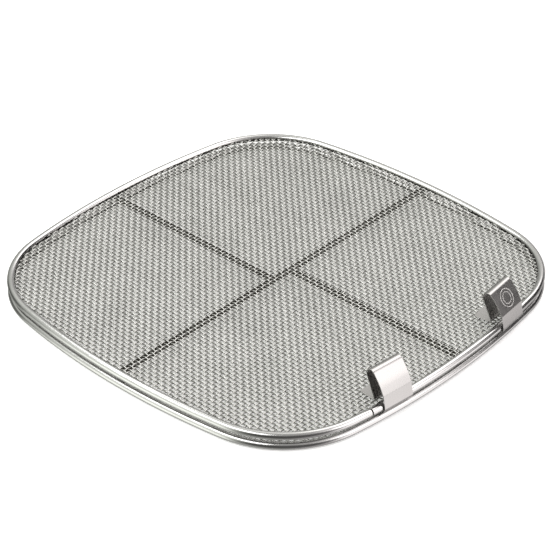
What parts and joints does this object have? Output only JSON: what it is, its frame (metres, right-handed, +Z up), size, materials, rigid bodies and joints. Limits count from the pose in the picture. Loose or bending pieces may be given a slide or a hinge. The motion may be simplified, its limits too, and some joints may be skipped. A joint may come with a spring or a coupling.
{
  "type": "double-layer woven-wire screen",
  "caption": "Flat square screen with bulging sides: stacked rimmed layers of woven steel mesh, flat support bars and bent sheet clips on the upper rim.",
  "frame": {"origin": "centre of the underside of the lower rim", "axes": "+Z up through both screens; the clips stand on the -Y side"},
  "size_m": [0.2498, 0.2498, 0.0267],
  "materials": {
    "rim_steel": "rolled and polished stainless strip",
    "hoop_steel": "drawn wire, hidden in the rim",
    "mesh_steel": "bright woven stainless wire",
    "bar_steel": "dull flat strip",
    "clip_steel": "satin bent sheet"
  },
  "bodies": {
    "lower_screen": {"lower_rim": "rim_steel", "lower_hoop_wire": "hoop_steel", "lower_mesh": "mesh_steel"},
    "upper_screen": {"upper_rim": "rim_steel", "upper_hoop_wire": "hoop_steel", "upper_mesh": "mesh_steel", "support_bar_long": "bar_steel", "support_bar_rear": "bar_steel", "support_bar_front": "bar_steel"},
    "left_clip": {"clip_left": "clip_steel"},
    "right_clip": {"clip_right": "clip_steel"}
  },
  "joints": [
    {"name": "upper_screen_lift", "type": "slide", "parent": "lower_screen", "child": "upper_screen", "axis": [0, 0, 1], "range_m": [0, 0.06]},
    {"name": "left_clip_tip", "type": "hinge", "parent": "upper_screen", "child": "left_clip", "pos_m": [-0.044, -0.12068, 0.00808], "axis": [0.9951, -0.0984, 0], "range_deg": [0, 55]},
    {"name": "right_clip_tip", "type": "hinge", "parent": "upper_screen", "child": "right_clip", "pos_m": [0.049, -0.12016, 0.00808], "axis": [0.994, 0.1096, 0], "range_deg": [0, 55]}
  ]
}
